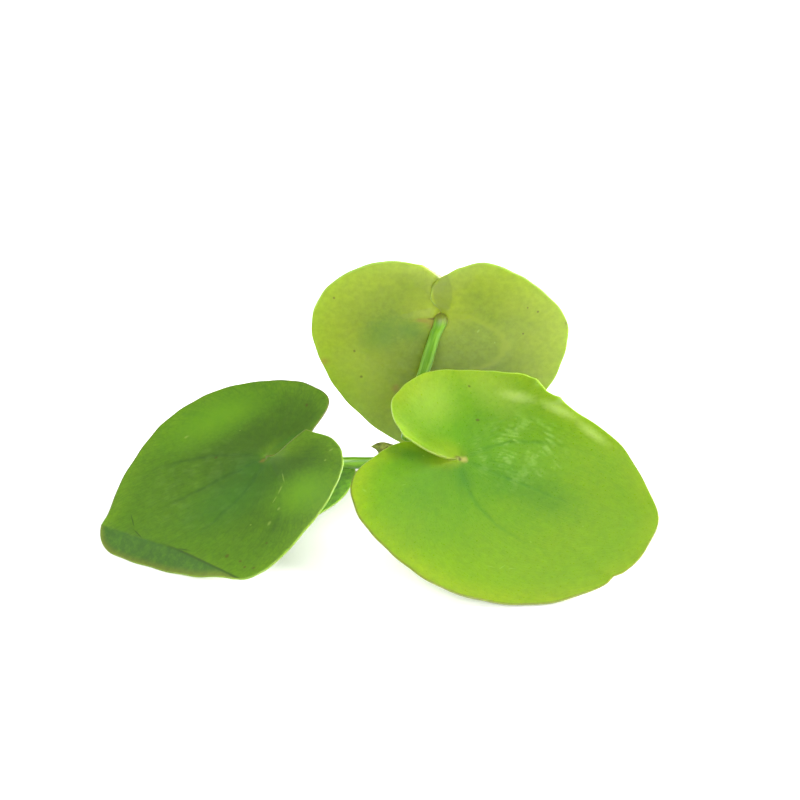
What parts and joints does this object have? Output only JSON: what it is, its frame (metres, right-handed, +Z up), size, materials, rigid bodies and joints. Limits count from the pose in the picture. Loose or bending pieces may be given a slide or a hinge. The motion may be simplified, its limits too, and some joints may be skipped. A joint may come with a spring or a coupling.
{
  "type": "amazon frogbit",
  "caption": "Floating pond plant lifted from the water: heart-round leaves on short green stalks round a small rootstock, spread and resting on a surface.",
  "frame": {"origin": "middle of the plant's length and width, on the surface that it rests on", "axes": "+X along the plant's length, from the folded dark leaf to the bright leaf; +Y to the back, towards the leaf that stands on its tip; +Z up"},
  "size_m": [0.0866, 0.0546, 0.0401],
  "materials": {
    "young_blade": "glossy, wet",
    "old_blade": "satin",
    "blade_underside": "satin",
    "small_blade": "satin",
    "stalk": "satin",
    "withered": "dull"
  },
  "bodies": {
    "root": {"blade_right": "young_blade", "blade_left": "old_blade", "blade_back": "blade_underside", "blade_small": "small_blade", "stalk_right": "stalk", "stalk_left": "stalk", "stalk_back": "stalk", "stalk_small": "stalk", "rootstock": "withered", "scale": "withered"}
  },
  "joints": []
}
